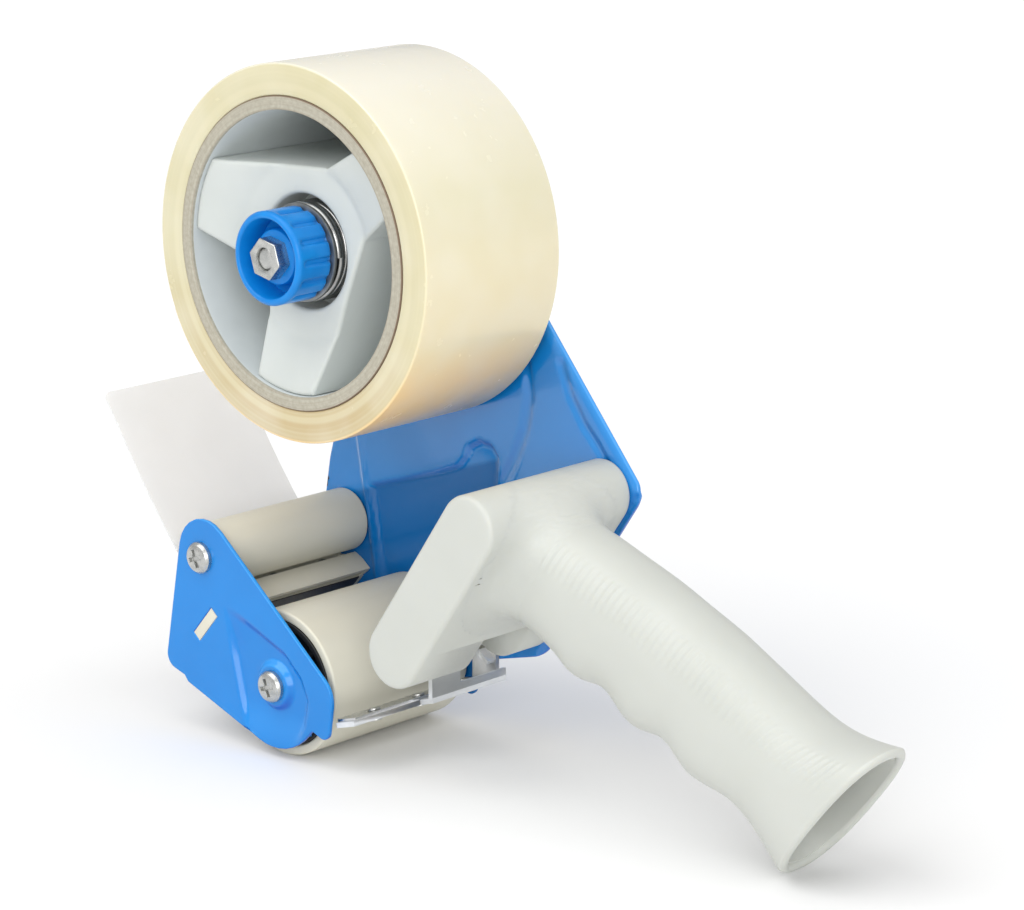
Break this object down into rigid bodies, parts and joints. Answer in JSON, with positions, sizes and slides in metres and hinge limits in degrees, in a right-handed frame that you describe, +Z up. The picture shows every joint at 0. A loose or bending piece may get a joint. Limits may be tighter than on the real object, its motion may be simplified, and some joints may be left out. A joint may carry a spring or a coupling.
{
  "type": "tape dispenser",
  "caption": "Hand-held packing tape dispenser: steel side plates, pistol grip, tape roll on a braked hub, guide and application rollers, toothed blade and clear flap.",
  "frame": {"origin": "on the table under the middle of the overall box", "axes": "+X from the flap at the front to the grip at the back, +Y across the tape towards the main side plate, +Z up"},
  "size_m": [0.2585, 0.068, 0.1905],
  "materials": {
    "blue_paint": "gloss enamel",
    "handle_plastic": "satin",
    "roller_plastic": "satin",
    "black_plastic": "matte",
    "axle_steel": "turned",
    "zinc_screw": "bright zinc plate",
    "zinc_sheet": "zinc plate",
    "blade_steel": "ground",
    "spring_steel": "bright",
    "brake_fibre": "matte",
    "guide_plastic": "satin",
    "clear_sheet": "clear gloss",
    "knob_plastic": "gloss",
    "hub_plastic": "satin",
    "core_board": "raw",
    "packing_tape": "gloss"
  },
  "bodies": {
    "frame": {"main_side_plate": "blue_paint", "front_side_plate": "blue_paint", "handle": "handle_plastic", "handle_screws": "zinc_screw", "application_roller_axle": "axle_steel", "guide_roller_axle": "axle_steel", "roller_axle_screws": "zinc_screw", "tape_guide": "guide_plastic", "flap_clamp_strip": "zinc_sheet", "flap_rivets": "zinc_screw", "flap_clamped_edge": "clear_sheet", "cutter_blade": "blade_steel", "blade_rivets": "zinc_screw", "blade_bracket": "zinc_sheet", "bracket_screws": "zinc_screw", "spindle_bolt": "zinc_screw", "spindle_sleeve": "axle_steel", "friction_washer": "brake_fibre", "pressure_washer": "zinc_sheet", "tension_spring": "spring_steel"},
    "tape_hub_assembly": {"tape_hub": "hub_plastic", "cardboard_core": "core_board", "tape_roll": "packing_tape"},
    "application_roller_assembly": {"application_roller": "roller_plastic", "application_roller_core": "black_plastic"},
    "guide_roller_assembly": {"guide_roller": "roller_plastic"},
    "brake_washer": {"knob_washer": "zinc_sheet"},
    "knob": {"tension_knob": "knob_plastic", "knob_nut": "zinc_screw"},
    "flap": {"tape_flap": "clear_sheet"}
  },
  "joints": [
    {"name": "hub_spin", "type": "hinge", "parent": "frame", "child": "tape_hub_assembly", "pos_m": [-0.052, 0, 0.14], "axis": [0, 1, 0], "continuous": true},
    {"name": "application_roller_spin", "type": "hinge", "parent": "frame", "child": "application_roller_assembly", "pos_m": [-0.0587, 0, 0.0203], "axis": [0, 1, 0], "continuous": true},
    {"name": "guide_roller_spin", "type": "hinge", "parent": "frame", "child": "guide_roller_assembly", "pos_m": [-0.0866, 0, 0.05125], "axis": [0, 1, 0], "continuous": true},
    {"name": "washer_slide", "type": "slide", "parent": "frame", "child": "brake_washer", "axis": [0, 1, 0], "range_m": [-0.001, 0.002], "deforming": ["tension_spring"]},
    {"name": "knob_turn", "type": "hinge", "parent": "brake_washer", "child": "knob", "pos_m": [-0.052, 0, 0.14], "axis": [0, 1, 0], "range_deg": [-360, 720]},
    {"name": "flap_flex", "type": "hinge", "parent": "frame", "child": "flap", "pos_m": [-0.09209, 0, 0.04061], "axis": [0, -1, 0], "range_deg": [-3, 50], "stiffness_Nm_per_rad": 0.035, "springref_deg": -0.52}
  ],
  "couplings": [
    {"joint": "knob_turn", "follows": "washer_slide", "rad_per_m": 6283.2}
  ]
}
